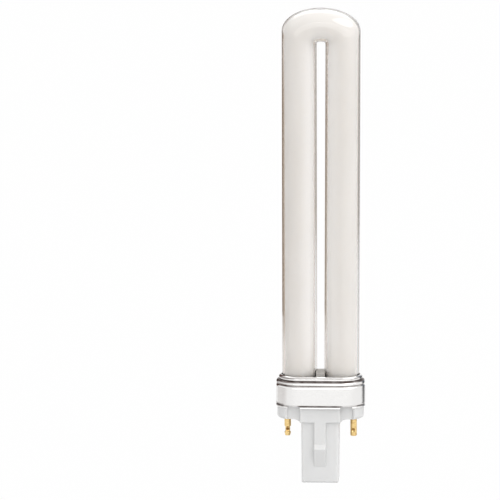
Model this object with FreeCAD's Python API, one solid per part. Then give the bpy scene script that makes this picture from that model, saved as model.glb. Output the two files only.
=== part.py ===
import FreeCAD, Part
import math
import os

os.makedirs("parts", exist_ok=True)

# A plug-in fluorescent lamp: one U-shaped glass tube, a metal shell round its feet, a plastic base with
# a centre post and two contact pins. Millimetres, +Z up along the tube, the front towards -Y.
# The origin lies midway between the pins on the plane that the base seats on.

# Glass tube
glass_top = 144.3
leg_diameter = 12.2
leg_pitch_foot = 14.6
leg_pitch_top = 15.2
glass_wall = 0.8
bend_thickness = 11.8
shoulder_height = 8.1
slot_rise = 1.5
slot_squareness = 4.0
bend_sections = 24
bend_run_in = 3.6
bend_run_in_sections = 3
leg_end_above_spigot = 3.8
pinch_height = 4.8
pinch_width = 9.0
pinch_thickness = 2.6
exhaust_diameter = 2.2
exhaust_length = 1.9

# Metal shell: a thin drawn sleeve of stadium outline, round ends about two centres
end_inset = 0.25
shell_over_rim = 2.15
shell_wall = 0.3
lip_height = 1.35
lip_turn_in = 0.06
body_height = 5.7
shoulder_radius = 0.75
shoulder_turn = 66.0
lower_bead_height = 2.25
lower_bead_crest = 1.55
lower_bead_inset = 0.06
bead_valley_inset = 1.42
upper_bead_height = 1.75
upper_bead_crest = 0.85
upper_bead_inset = 1.0
rim_gap = 0.35
tab_rise = 0.75
tab_length = 2.9
tab_inset = 0.1
tab_side_gap = 0.2

# Base: flange blocks, spigot inside the shell and the hollow centre post
flange_height = 4.15
flange_inset = 0.45
flange_wall = 2.0
flange_round = 1.0
window_width = 4.25
window_recess = 2.85
window_wall = 1.2
lobe_round = 1.0
ledge_thickness = 1.2
spigot_fit = 0.05
spigot_wall = 1.25
spigot_height = 3.5
block_drop = 1.1
block_edge = 0.4
fillet_reach = 2.55
post_length = 22.5
post_width = 13.2
post_depth = 11.6
post_taper = 0.3
post_corner = 0.8
post_edge = 0.5
post_wall = 1.3
post_floor = 1.5
rib_width = 4.05
rib_height = 1.1
catch_height = 1.1
catch_drop = 8.65
catch_slope = 1.6
catch_ramp = 7.25
boss_radius = 2.3
boss_rise = 2.6

# Contact pins
pin_spacing = 23.0
pin_diameter = 2.3
pin_root_diameter = 2.7
pin_length = 6.7
pin_straight = 3.3
pin_waist_diameter = 1.7
pin_waist_from_tip = 1.6
pin_taper = 1.1
pin_tip_diameter = 1.7
pin_tip_chamfer = 0.2
pin_head_diameter = 3.6
pin_head_thickness = 0.5
pin_bore_depth = 3.0
pocket_width = 1.0
pocket_height = 1.5
pocket_depth = 0.55
dimple_from_tip = 2.1
dimple_depth = 0.6
dimple_radius = 0.75

# Sealed parts inside the cap
cement_recess = 0.9
bridge_half_width = 1.5
bridge_half_depth = 4.8
bridge_edge_rise = 0.85
bridge_crown_rise = 1.25
pin_lead_diameter = 0.5
starter_lead_diameter = 0.4
lead_fit = 0.07
lead_half_spread = 2.4
lead_drop = 0.6
lead_bend = 0.8
branch_bend = 0.5
lead_rise = 3.6
lead_meet_drop = 3.0
starter_length = 17.6
starter_diameter = 6.4
starter_gap = 0.2
starter_neck = 1.8
starter_pinch_height = 2.0
starter_pinch_width = 4.4
starter_pinch_thickness = 1.8
starter_lead_half_pitch = 0.9
capacitor_below_starter = 3.8
capacitor_thickness = 2.6
capacitor_width = 6.0
capacitor_height = 7.0
capacitor_round = 0.6
capacitor_gap = 0.7
capacitor_lead_half_pitch = 1.8
sleeve_diameter = 0.9
sleeve_length = 2.0
sleeve_place_left = 0.5
sleeve_place_right = 0.3

# Heights that follow, from the seating plane up
body_bottom = flange_height + lip_height
body_top = body_bottom + body_height
bead_valley_z = body_top + lower_bead_height
rim_top = bead_valley_z + upper_bead_height
tab_bottom = flange_height + tab_rise
ledge_bottom = tab_bottom + shell_wall
ledge_top = ledge_bottom + ledge_thickness
spigot_top = body_bottom + spigot_height
boss_top = flange_wall + boss_rise
pin_head_top = boss_top + pin_head_thickness
pin_bore_end = pin_head_top - pin_bore_depth
leg_end = spigot_top + leg_end_above_spigot
pinch_bottom = leg_end - pinch_height
slot_radius = leg_pitch_top / 2 - leg_diameter / 2
slot_centre = glass_top - bend_thickness - slot_rise

# Heights inside the post, from its floor up
post_cavity_floor = post_floor - post_length
starter_bottom = post_cavity_floor + starter_gap
starter_top = starter_bottom + starter_length
starter_pinch_start = starter_top - starter_pinch_height
starter_shoulder = starter_pinch_start - starter_neck
capacitor_top = starter_top - capacitor_below_starter
lead_turn = starter_top + lead_rise
lead_meet = pinch_bottom - lead_meet_drop

# Radii, half widths and half depths that follow
leg_radius = leg_diameter / 2
outer_half_span = leg_pitch_top / 2 + leg_radius
ellipse_offset = bend_thickness + slot_rise - shoulder_height
end_centre = leg_pitch_foot / 2 - end_inset
rim_radius = leg_radius + end_inset + rim_gap
shell_radius = leg_radius + end_inset + shell_over_rim
flange_radius = shell_radius - flange_inset
window_inner = end_centre
window_outer = window_inner + window_width
window_depth = flange_radius - window_recess
cavity_half_depth = window_depth - window_wall
groove_depth = shoulder_radius * (1 - math.cos(math.radians(shoulder_turn)))
spigot_radius = shell_radius - shell_wall - spigot_fit
neck_radius = spigot_radius - groove_depth
post_cavity_x = post_width / 2 - post_wall
post_cavity_y = post_depth / 2 - post_wall
rib_face = post_depth / 2 + rib_height
catch_face = rib_face + catch_height
pin_radius = pin_diameter / 2
pin_root_radius = pin_root_diameter / 2
pin_bore = pin_lead_diameter / 2 + lead_fit
starter_x = starter_diameter / 2 + starter_gap - post_cavity_x
capacitor_x = post_cavity_x - capacitor_gap - capacitor_thickness / 2

# Extra length of a cutting tool past the face that it opens
overcut = 1.0


def vec(x, y, z):
    """Return a point or direction."""
    return FreeCAD.Vector(x, y, z)


def box(x0, x1, y0, y1, z0, z1):
    """Return an axis-aligned block between two corners."""
    return Part.makeBox(x1 - x0, y1 - y0, z1 - z0, vec(x0, y0, z0))


def fused(shapes):
    """Return one solid from shapes that touch or overlap."""
    whole = shapes[0].fuse(shapes[1:])
    return whole.removeSplitter()


def single(shape):
    """Return the only solid of a shape."""
    if len(shape.Solids) != 1:
        raise ValueError("expected one solid, found %d" % len(shape.Solids))
    return shape.Solids[0]


def four_ways(shape):
    """Return the shape and its mirror images in the X and Y mid-planes."""
    right_pair = [shape, shape.mirror(vec(0, 0, 0), vec(0, 1, 0))]
    left_pair = [half.mirror(vec(0, 0, 0), vec(1, 0, 0)) for half in right_pair]
    return right_pair + left_pair


def stadium(radius, half_pitch, z0, z1):
    """Return an upright prism with straight sides and round ends."""
    start = vec(-half_pitch, -radius, z0)
    corner = vec(half_pitch, -radius, z0)
    far = vec(half_pitch, radius, z0)
    back = vec(-half_pitch, radius, z0)
    edges = [
        Part.LineSegment(start, corner).toShape(),
        Part.Arc(corner, vec(half_pitch + radius, 0, z0), far).toShape(),
        Part.LineSegment(far, back).toShape(),
        Part.Arc(back, vec(-half_pitch - radius, 0, z0), start).toShape(),
    ]
    return Part.Face(Part.Wire(edges)).extrude(vec(0, 0, z1 - z0))


def swept_round(face):
    """Carry a face drawn at the right end, X outwards, round the shell's stadium outline."""
    up = vec(0, 0, 1)
    centre = vec(end_centre, 0, 0)
    section = face.copy()
    section.translate(centre)
    section.rotate(centre, up, -90)
    right_end = section.revolve(centre, up, 180)
    front = section.extrude(vec(-2 * end_centre, 0, 0))
    left_end = right_end.mirror(vec(0, 0, 0), vec(1, 0, 0))
    back = front.mirror(vec(0, 0, 0), vec(0, 1, 0))
    return fused([right_end, front, left_end, back])


def bend_reach(angle):
    """Distance from the slot's centre to the outside of the bend, at an angle in radians from +X."""
    across = abs(math.cos(angle))
    rise = math.sin(angle)
    straight = outer_half_span / max(across, 1e-9)
    if straight * rise <= ellipse_offset:
        return straight
    square = (across / outer_half_span) ** 2 + (rise / shoulder_height) ** 2
    linear = rise * ellipse_offset / shoulder_height ** 2
    constant = (ellipse_offset / shoulder_height) ** 2 - 1
    return (linear + math.sqrt(linear ** 2 - square * constant)) / square


def slot_reach(angle):
    """Distance from the slot's centre to its edge, at an angle in radians: the slot's top is squared off."""
    across = abs(math.cos(angle)) / slot_radius
    rise = abs(math.sin(angle)) / slot_rise
    return (across ** slot_squareness + rise ** slot_squareness) ** (-1 / slot_squareness)


def ellipse_wire(centre, outward, half_width, half_depth):
    """Return an ellipse about a centre, half_width along outward and half_depth along Y."""
    circle = Part.Circle(vec(0, 0, 0), vec(0, 0, 1), 1).toShape().toNurbs()
    place = FreeCAD.Matrix(
        outward.x * half_width, 0, -outward.z, centre.x,
        0, half_depth, 0, centre.y,
        outward.z * half_width, 0, outward.x, centre.z,
        0, 0, 0, 1,
    )
    return Part.Wire(circle.transformGeometry(place).Edges)


def bend_section(angle, inset):
    """Return the tube's section at an angle round the slot, inset from the outer surface."""
    outer = bend_reach(angle)
    inner = slot_reach(angle)
    outward = vec(math.cos(angle), 0, math.sin(angle))
    centre = vec(0, 0, slot_centre) + outward * ((outer + inner) / 2)
    return ellipse_wire(centre, outward, (outer - inner) / 2 - inset, leg_radius - inset)


def leg_centre(z):
    """X of the right leg's axis at a height: the legs stand a little apart at the top."""
    share = (z - leg_end) / (slot_centre - leg_end)
    return (leg_pitch_foot + (leg_pitch_top - leg_pitch_foot) * share) / 2


def leg_section(side, z, inset):
    """Return the round section of one leg at a height."""
    centre = vec(side * leg_centre(z), 0, z)
    return ellipse_wire(centre, vec(side, 0, 0), leg_radius - inset, leg_radius - inset)


def tube_body(inset, end):
    """Return the U-shaped body inside the outer surface by inset, with flat ends at a height."""
    angles = [math.pi * i / bend_sections for i in range(bend_sections + 1)]
    run_in = [
        slot_centre - bend_run_in * step / bend_run_in_sections
        for step in range(bend_run_in_sections, 0, -1)
    ]
    right = [leg_section(1, z, inset) for z in run_in]
    left = [leg_section(-1, z, inset) for z in reversed(run_in)]
    turn = [bend_section(angle, inset) for angle in angles]
    bend = Part.makeLoft(right + turn + left, True, False)
    legs = []
    for side in (1, -1):
        sections = [leg_section(side, end, inset), leg_section(side, run_in[0], inset)]
        legs.append(Part.makeLoft(sections, True, True))
    return single(fused([bend] + legs))


def leg_pinch(side):
    """Return the flattened seal below one leg."""
    centre = leg_centre(leg_end)
    middle = (leg_end + pinch_bottom) / 2
    round_end = leg_section(side, leg_end, 0)
    outward = vec(side, 0, 0)
    flat = [
        ellipse_wire(vec(side * centre, 0, z), outward, pinch_width / 2, pinch_thickness / 2)
        for z in (middle, pinch_bottom)
    ]
    return Part.makeLoft([round_end] + flat, True, True)


def glass_outside():
    """Return the glass tube's outer form, seals and exhaust tip included."""
    foot = leg_centre(leg_end)
    tip_radius = exhaust_diameter / 2
    tip_centre = pinch_bottom - exhaust_length + tip_radius
    stub = Part.makeCylinder(tip_radius, pinch_bottom - tip_centre, vec(foot, 0, tip_centre))
    tip = Part.makeSphere(tip_radius, vec(foot, 0, tip_centre))
    return single(fused([tube_body(0, leg_end), leg_pinch(1), leg_pinch(-1), stub, tip]))


def shell_outer_edges():
    """Return the shell's outer profile from the lip to the rim, X measured from an end centre."""
    shoulder_x = shell_radius - shoulder_radius
    swing = math.radians(shoulder_turn)
    valley_x = shoulder_x + shoulder_radius * math.cos(swing)
    valley_rise = shoulder_radius * math.sin(swing)
    half_x = shoulder_x + shoulder_radius * math.cos(swing / 2)
    half_rise = shoulder_radius * math.sin(swing / 2)
    lip = vec(shell_radius - lip_turn_in, 0, flange_height)
    lip_crest = vec(shell_radius, 0, flange_height + lip_height / 6)
    low_valley = vec(valley_x, 0, body_bottom - valley_rise)
    body_low = vec(shell_radius, 0, body_bottom)
    body_high = vec(shell_radius, 0, body_top)
    high_valley = vec(valley_x, 0, body_top + valley_rise)
    lower_crest = vec(shell_radius - lower_bead_inset, 0, body_top + lower_bead_crest)
    bead_valley = vec(shell_radius - bead_valley_inset, 0, bead_valley_z)
    upper_crest = vec(shell_radius - upper_bead_inset, 0, bead_valley_z + upper_bead_crest)
    rim = vec(rim_radius, 0, rim_top)
    curves = [
        Part.Arc(lip, lip_crest, low_valley),
        Part.Arc(low_valley, vec(half_x, 0, body_bottom - half_rise), body_low),
        Part.LineSegment(body_low, body_high),
        Part.Arc(body_high, vec(half_x, 0, body_top + half_rise), high_valley),
        Part.Arc(high_valley, lower_crest, bead_valley),
        Part.Arc(bead_valley, upper_crest, rim),
    ]
    return [curve.toShape() for curve in curves]


def point_along(edge, share):
    """Return the point of an edge at a share of its parameter range, 0 at its start and 1 at its end."""
    return edge.valueAt(edge.FirstParameter + share * (edge.LastParameter - edge.FirstParameter))


def inset_point(edge, share, inset):
    """Return a point of an outer profile edge moved inwards, square to the edge."""
    point = point_along(edge, share)
    if isinstance(edge.Curve, Part.Line):
        return point - vec(inset, 0, 0)
    inwards = edge.Curve.Center - point
    inwards.normalize()
    return point + inwards * inset


def shell_inner_edges():
    """Return the shell's inner profile, one wall inside the outer one and round past each valley."""
    edges = []
    for outer in shell_outer_edges():
        first = inset_point(outer, 0, shell_wall)
        last = inset_point(outer, 1, shell_wall)
        if edges and first.distanceToPoint(end) > 1e-6:
            corner = point_along(outer, 0)
            inwards = (first - corner) + (end - corner)
            inwards.normalize()
            edges.append(Part.Arc(end, corner + inwards * shell_wall, first).toShape())
        if isinstance(outer.Curve, Part.Line):
            edges.append(Part.LineSegment(first, last).toShape())
        else:
            edges.append(Part.Arc(first, inset_point(outer, 0.5, shell_wall), last).toShape())
        end = last
    return edges


def window_boxes(z0, z1, side_gap, depth):
    """Return the four gaps between the flange's middle block and its lobes, as blocks."""
    far = shell_radius + overcut
    block = box(window_inner + side_gap, window_outer - side_gap, depth, far, z0, z1)
    return four_ways(block)


def metal_shell():
    """Return the drawn shell, its lip cut away at four windows where tabs fold in under the base."""
    outer = shell_outer_edges()
    inner = shell_inner_edges()
    lip_edge = Part.LineSegment(point_along(outer[0], 0), point_along(inner[0], 0)).toShape()
    rim_edge = Part.LineSegment(point_along(outer[-1], 1), point_along(inner[-1], 1)).toShape()
    section = Part.Face(Part.Wire(Part.__sortEdges__(outer + inner + [lip_edge, rim_edge])))
    sleeve = swept_round(section)
    sleeve = sleeve.cut(window_boxes(flange_height - overcut, tab_bottom, 0, window_depth))
    plate = stadium(shell_radius - tab_inset, end_centre, tab_bottom, ledge_bottom)
    blocks = window_boxes(tab_bottom, ledge_bottom, tab_side_gap, shell_radius - tab_length)
    return single(fused([sleeve] + [plate.common(block) for block in blocks]))


def shell_inside():
    """Return the space inside the shell as a solid."""
    inner = shell_inner_edges()
    low = point_along(inner[0], 0)
    high = point_along(inner[-1], 1)
    axis_low = vec(0, 0, low.z)
    axis_high = vec(0, 0, high.z)
    border = [
        Part.LineSegment(axis_low, low).toShape(),
        Part.LineSegment(high, axis_high).toShape(),
        Part.LineSegment(axis_high, axis_low).toShape(),
    ]
    return swept_round(Part.Face(Part.Wire(Part.__sortEdges__(border + inner))))


def rounded_rectangle(width, depth, corner, z):
    """Return a rectangle with rounded corners as a wire at a height."""
    x = width / 2
    y = depth / 2
    k = corner * (1 - math.sqrt(0.5))
    edges = [
        Part.LineSegment(vec(-x + corner, -y, z), vec(x - corner, -y, z)).toShape(),
        Part.Arc(vec(x - corner, -y, z), vec(x - k, -y + k, z), vec(x, -y + corner, z)).toShape(),
        Part.LineSegment(vec(x, -y + corner, z), vec(x, y - corner, z)).toShape(),
        Part.Arc(vec(x, y - corner, z), vec(x - k, y - k, z), vec(x - corner, y, z)).toShape(),
        Part.LineSegment(vec(x - corner, y, z), vec(-x + corner, y, z)).toShape(),
        Part.Arc(vec(-x + corner, y, z), vec(-x + k, y - k, z), vec(-x, y - corner, z)).toShape(),
        Part.LineSegment(vec(-x, y - corner, z), vec(-x, -y + corner, z)).toShape(),
        Part.Arc(vec(-x, -y + corner, z), vec(-x + k, -y + k, z), vec(-x + corner, -y, z)).toShape(),
    ]
    return Part.Wire(edges)


def prism_in_x(points, half_width):
    """Return a straight prism, its outline given as (y, z) points, centred on X = 0."""
    outline = [vec(-half_width, y, z) for y, z in points]
    face = Part.Face(Part.makePolygon(outline + outline[:1]))
    return face.extrude(vec(2 * half_width, 0, 0))


def flange():
    """Return the flange and spigot as one blank: round lower edge, seat for the lip, neck, spigot."""
    r = flange_radius
    k = flange_round * (1 - math.sqrt(0.5))
    arc = Part.Arc(vec(r - flange_round, 0, 0), vec(r - k, 0, k), vec(r, 0, flange_round))
    corners = [
        vec(r, 0, flange_round),
        vec(r, 0, flange_height),
        vec(neck_radius, 0, flange_height),
        vec(neck_radius, 0, body_bottom),
        vec(spigot_radius, 0, body_bottom),
        vec(spigot_radius, 0, spigot_top),
        vec(0, 0, spigot_top),
        vec(0, 0, 0),
        vec(r - flange_round, 0, 0),
    ]
    outline = Part.Wire([arc.toShape()] + Part.makePolygon(corners).Edges)
    return swept_round(Part.Face(outline))


def lobe_corner():
    """Return the tool that rounds a lobe's upright corner beside a window."""
    rise = math.sqrt(flange_radius ** 2 - (window_outer + lobe_round - end_centre) ** 2)
    centre_x = window_outer + lobe_round
    centre_y = rise - lobe_round + lobe_round / 5
    block = box(window_outer, centre_x, centre_y, shell_radius + overcut, -overcut, flange_height)
    keep = Part.makeCylinder(lobe_round, flange_height + overcut, vec(centre_x, centre_y, -overcut))
    return block.cut(keep)


def underside_fillet():
    """Return the right-hand hollow fillet between the flange's underside and the middle block."""
    outer_x = window_inner + fillet_reach
    radius = (fillet_reach ** 2 + block_drop ** 2) / (2 * block_drop)
    half_turn = math.asin(fillet_reach / radius) / 2
    middle = vec(outer_x - radius * math.sin(half_turn), 0, -radius * (1 - math.cos(half_turn)))
    foot = vec(window_inner, 0, -block_drop)
    top = vec(window_inner, 0, 0)
    edges = [
        Part.Arc(vec(outer_x, 0, 0), middle, foot).toShape(),
        Part.LineSegment(foot, top).toShape(),
        Part.LineSegment(top, vec(outer_x, 0, 0)).toShape(),
    ]
    face = Part.Face(Part.Wire(edges))
    face.translate(vec(0, -window_depth, 0))
    return face.extrude(vec(0, 2 * window_depth, 0))


def post():
    """Return the solid centre post with its front and back ribs and catches."""
    top = rounded_rectangle(post_width, post_depth, post_corner, 0)
    foot = rounded_rectangle(post_width - post_taper, post_depth - post_taper, post_corner, -post_length)
    body = Part.makeLoft([top, foot], True, True)
    low_edges = [edge for edge in body.Edges if edge.BoundBox.ZMax < -post_length + 0.01]
    body = body.makeFillet(post_edge, low_edges)
    root = post_depth / 2 - post_wall
    rib_outline = [
        (-root, flange_height),
        (-rib_face, flange_height),
        (-rib_face, -catch_drop),
        (-catch_face, -catch_drop - catch_slope),
        (-post_depth / 2 + post_taper, -catch_drop - catch_slope - catch_ramp),
        (-root, -catch_drop - catch_slope - catch_ramp),
    ]
    rib = prism_in_x(rib_outline, rib_width / 2)
    return fused([body, rib, rib.mirror(vec(0, 0, 0), vec(0, 1, 0))])


def middle_block():
    """Return the flange's middle block, its outer edges rounded at the front and back."""
    block = box(-window_inner, window_inner, -rib_face, rib_face, -block_drop, flange_height)
    rounded = []
    for edge in block.Edges:
        centre = edge.CenterOfMass
        on_face = abs(abs(centre.y) - rib_face) < 0.01
        below_shell = centre.z < flange_height - 0.01
        if on_face and below_shell:
            rounded.append(edge)
    return block.makeFillet(block_edge, rounded)


def base_spaces():
    """Return the hollow of the base: inside the spigot, inside the flange and down the post."""
    low_half_pitch = pin_spacing / 2 + boss_radius - cavity_half_depth
    return fused([
        stadium(spigot_radius - spigot_wall, end_centre, ledge_top, spigot_top + overcut),
        stadium(cavity_half_depth, low_half_pitch, flange_wall, ledge_top + overcut),
        box(
            -post_cavity_x,
            post_cavity_x,
            -post_cavity_y,
            post_cavity_y,
            post_cavity_floor,
            flange_wall + overcut,
        ),
    ])


def pin_cylinders(radius, z0, z1):
    """Return an upright cylinder at each pin."""
    return [
        Part.makeCylinder(radius, z1 - z0, vec(side * pin_spacing / 2, 0, z0))
        for side in (-1, 1)
    ]


def base_housing():
    """Return the moulded base: flange blocks, spigot, hollow post, catches and pin bosses."""
    blank = flange().cut(window_boxes(-overcut, ledge_bottom, 0, window_depth))
    blank = blank.cut(four_ways(lobe_corner()))
    front = box(-window_inner, window_inner, rib_face / 2, shell_radius, -overcut, flange_height)
    blank = blank.cut([front, front.mirror(vec(0, 0, 0), vec(0, 1, 0))])
    fillet = underside_fillet()
    outer = fused([blank, middle_block(), fillet, fillet.mirror(vec(0, 0, 0), vec(1, 0, 0)), post()])
    body = outer.cut(base_spaces())
    body = fused([body] + pin_cylinders(boss_radius, flange_wall / 2, boss_top))
    return single(body.cut(pin_cylinders(pin_root_radius, -overcut, boss_top + overcut)))


def turned(points):
    """Return a solid turned about Z from its (radius, z) outline."""
    outline = [vec(radius, 0, z) for radius, z in points]
    face = Part.Face(Part.makePolygon(outline + outline[:1]))
    return face.revolve(vec(0, 0, 0), vec(0, 0, 1), 360)


def pin_blank(shank):
    """Return a headed pin, bored for its lead and thicker where the cap holds it.

    The shank is given as (radius, z) points below the straight part.
    """
    head = pin_head_diameter / 2
    held = [(0, pin_head_top), (head, pin_head_top), (head, boss_top), (pin_root_radius, boss_top)]
    step = [(pin_root_radius, 0), (pin_radius, 0)]
    pin = turned(held + step + shank + [(0, -pin_length)])
    return pin.cut(Part.makeCylinder(pin_bore, pin_bore_depth, vec(0, 0, pin_bore_end)))


def contact_pin_left():
    """Return the left pin: its crimp has narrowed it and left a square pocket in front."""
    waist = pin_waist_diameter / 2
    slope = pin_radius - waist
    shank = [
        (pin_radius, -pin_straight),
        (waist, -pin_straight - slope),
        (waist, pin_waist_from_tip - pin_length),
        (pin_radius, pin_taper - pin_length),
        (pin_tip_diameter / 2, -pin_length),
    ]
    pin = pin_blank(shank)
    low = (pin_waist_from_tip - pin_length - pin_straight - slope - pocket_height) / 2
    half = pocket_width / 2
    pin = pin.cut(box(-half, half, -pin_radius, pocket_depth - waist, low, low + pocket_height))
    pin.translate(vec(-pin_spacing / 2, 0, 0))
    return single(pin)


def contact_pin_right():
    """Return the right pin: straight, with a pointed crimp mark in front."""
    shank = [(pin_radius, -pin_length + pin_tip_chamfer), (pin_radius - pin_tip_chamfer, -pin_length)]
    pin = pin_blank(shank)
    base = vec(0, -pin_radius, dimple_from_tip - pin_length)
    pin = pin.cut(Part.makeCone(dimple_radius, 0, dimple_depth, base, vec(0, 1, 0)))
    pin.translate(vec(pin_spacing / 2, 0, 0))
    return single(pin)


def route(points, bend_radius):
    """Return a wire of straight runs and tangent arcs along points."""
    edges = []
    start = points[0]
    for before, corner, after in zip(points, points[1:], points[2:]):
        back = before - corner
        ahead = after - corner
        back.normalize()
        ahead.normalize()
        half_angle = back.getAngle(ahead) / 2
        tangent = bend_radius / math.tan(half_angle)
        bisector = back + ahead
        bisector.normalize()
        centre = corner + bisector * (bend_radius / math.sin(half_angle))
        entry = corner + back * tangent
        leave = corner + ahead * tangent
        edges.append(Part.LineSegment(start, entry).toShape())
        edges.append(Part.Arc(entry, centre - bisector * bend_radius, leave).toShape())
        start = leave
    edges.append(Part.LineSegment(start, points[-1]).toShape())
    return Part.Wire(edges)


def swept_wire(points, diameter, bend_radius):
    """Return a round wire along points."""
    path = route(points, bend_radius)
    section = Part.Circle(points[0], points[1] - points[0], diameter / 2).toShape()
    return path.makePipeShell([Part.Wire([section])], True, False)


def cement_bridge():
    """Return the heap of cement that stands above the rim between the legs, crowned along its depth."""
    low = rim_top - cement_recess - overcut
    edge = rim_top + bridge_edge_rise
    corners = [
        vec(-bridge_half_width, -bridge_half_depth, edge),
        vec(-bridge_half_width, -bridge_half_depth, low),
        vec(-bridge_half_width, bridge_half_depth, low),
        vec(-bridge_half_width, bridge_half_depth, edge),
    ]
    crown = vec(-bridge_half_width, 0, rim_top + bridge_crown_rise)
    edges = [Part.LineSegment(start, end).toShape() for start, end in zip(corners, corners[1:])]
    edges.append(Part.Arc(corners[-1], crown, corners[0]).toShape())
    return Part.Face(Part.Wire(edges)).extrude(vec(2 * bridge_half_width, 0, 0))


def basing_cement(glass_form):
    """Return the cement that fills the shell between the spigot and the rim, round both legs and up between them."""
    layer = stadium(shell_radius, end_centre, spigot_top, rim_top - cement_recess)
    return single(shell_inside().common(layer).fuse(cement_bridge()).cut(glass_form))


def pin_lead(side):
    """Return the wire from a leg's outer seal down into the bore of its pin."""
    start_x = leg_centre(leg_end) + lead_half_spread
    end_x = pin_spacing / 2
    points = [
        vec(side * start_x, 0, pinch_bottom),
        vec(side * start_x, 0, pinch_bottom - lead_drop),
        vec(side * end_x, 0, pin_head_top + lead_drop),
        vec(side * end_x, 0, pin_bore_end),
    ]
    return single(swept_wire(points, pin_lead_diameter, lead_bend))


def starter_lead(side):
    """Return the wire from the starter to a leg's inner seal, with the capacitor's wire welded on."""
    foot_x = starter_x + side * starter_lead_half_pitch
    top_x = side * (leg_centre(leg_end) - lead_half_spread)
    turn = vec(foot_x, 0, lead_turn)
    top = vec(top_x, 0, lead_meet)
    main = swept_wire(
        [vec(foot_x, 0, starter_top), turn, top, vec(top_x, 0, pinch_bottom)],
        starter_lead_diameter,
        lead_bend,
    )
    lead_y = -side * capacitor_lead_half_pitch
    low = vec(capacitor_x, lead_y, capacitor_top)
    if side > 0:
        share = (capacitor_x - turn.x) / (top.x - turn.x)
        weld = turn + (top - turn) * share
        branch = [low, vec(capacitor_x, lead_y, weld.z - lead_drop * 2), weld]
    else:
        level = starter_top + lead_drop
        weld = vec(foot_x, 0, level + lead_drop * 2)
        branch = [low, vec(capacitor_x, lead_y, level), vec(foot_x + lead_drop, lead_y, level), weld]
    return single(fused([main, swept_wire(branch, starter_lead_diameter, branch_bend)]))


def lead_sleeve(side):
    """Return the insulating sleeve on the sloping stretch of one starter wire."""
    turn = vec(starter_x + side * starter_lead_half_pitch, 0, lead_turn)
    top = vec(side * (leg_centre(leg_end) - lead_half_spread), 0, lead_meet)
    along = top - turn
    share = sleeve_place_right if side > 0 else sleeve_place_left
    centre = turn + along * share
    along.normalize()
    start = centre - along * (sleeve_length / 2)
    tube = Part.makeCylinder(sleeve_diameter / 2, sleeve_length, start, along)
    hole = Part.makeCylinder(starter_lead_diameter / 2, sleeve_length, start, along)
    return single(tube.cut(hole))


def glow_starter():
    """Return the sealed glow bottle: round foot, straight body, shoulder and flat seal."""
    radius = starter_diameter / 2
    body_low = starter_bottom + radius
    body = Part.makeCylinder(radius, starter_shoulder - body_low, vec(0, 0, body_low))
    dome = Part.makeSphere(radius, vec(0, 0, body_low))
    outward = vec(1, 0, 0)
    sections = [ellipse_wire(vec(0, 0, starter_shoulder), outward, radius, radius)]
    half_width = starter_pinch_width / 2
    half_depth = starter_pinch_thickness / 2
    for z in (starter_pinch_start, starter_top):
        sections.append(ellipse_wire(vec(0, 0, z), outward, half_width, half_depth))
    bottle = fused([body, dome, Part.makeLoft(sections, True, True)])
    bottle.translate(vec(starter_x, 0, 0))
    return single(bottle)


def suppression_capacitor():
    """Return the dipped capacitor, a small round-edged block beside the starter."""
    block = box(
        capacitor_x - capacitor_thickness / 2,
        capacitor_x + capacitor_thickness / 2,
        -capacitor_width / 2,
        capacitor_width / 2,
        capacitor_top - capacitor_height,
        capacitor_top,
    )
    return single(block.makeFillet(capacitor_round, block.Edges))


def write(name, shape):
    """Save one named piece."""
    shape.exportStep("parts/%s.step" % name)


def main():
    """Make every piece of the lamp and save it."""
    glass_form = glass_outside()
    write("glass_tube", single(glass_form.cut(tube_body(glass_wall, leg_end + glass_wall))))
    write("metal_shell", metal_shell())
    write("basing_cement", basing_cement(glass_form))
    write("base_housing", base_housing())
    write("contact_pin_left", contact_pin_left())
    write("contact_pin_right", contact_pin_right())
    write("glow_starter", glow_starter())
    write("suppression_capacitor", suppression_capacitor())
    for side, name in ((-1, "left"), (1, "right")):
        write("pin_lead_" + name, pin_lead(side))
        write("starter_lead_" + name, starter_lead(side))
        write("lead_sleeve_" + name, lead_sleeve(side))


main()
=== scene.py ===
"""Looks of a plug-in fluorescent lamp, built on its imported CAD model.

Metres, +Z up along the tube, the front towards -Y. The origin lies midway between the contact pins on the
plane that the cap seats on.
"""

import logging
import math
from collections.abc import Callable, Iterable, Mapping, Sequence
from dataclasses import dataclass
from enum import Enum
from typing import ClassVar

import bmesh
import bpy
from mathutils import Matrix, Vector


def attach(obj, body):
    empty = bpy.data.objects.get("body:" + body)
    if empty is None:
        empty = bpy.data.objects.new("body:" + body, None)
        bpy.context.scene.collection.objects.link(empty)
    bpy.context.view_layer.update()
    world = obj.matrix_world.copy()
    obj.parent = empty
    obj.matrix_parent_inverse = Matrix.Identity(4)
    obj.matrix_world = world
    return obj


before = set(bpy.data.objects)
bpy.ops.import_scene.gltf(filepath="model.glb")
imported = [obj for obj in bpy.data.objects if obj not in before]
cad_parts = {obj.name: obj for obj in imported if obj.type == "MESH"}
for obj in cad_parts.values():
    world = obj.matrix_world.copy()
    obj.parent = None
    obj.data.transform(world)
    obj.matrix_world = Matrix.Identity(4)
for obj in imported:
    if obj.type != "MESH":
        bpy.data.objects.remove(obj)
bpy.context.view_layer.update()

log = logging.getLogger("lamp")
Colour = tuple[float, float, float]

WHITE: Colour = (1.0, 1.0, 1.0)

NOISE_RANGE = (0.3, 0.7)
"""Between which values soft noise mostly lies."""

PATCH_RANGE = (0.35, 0.7)
"""Between which values of its noise a patch of another colour sets in."""

FLOOR_HEIGHT = -0.0225
"""The level of the post's lower end, on which the lamp stands."""


class Slot(Enum):
    """The record's material slots."""

    GLASS = "coated_glass"
    SHELL = "shell_aluminium"
    CEMENT = "cement"
    CAP = "cap_plastic"
    PIN = "pin_brass"
    STARTER = "starter_glass"
    CAPACITOR = "capacitor_coat"
    WIRE = "lead_wire"
    SLEEVE = "sleeve"


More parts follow.
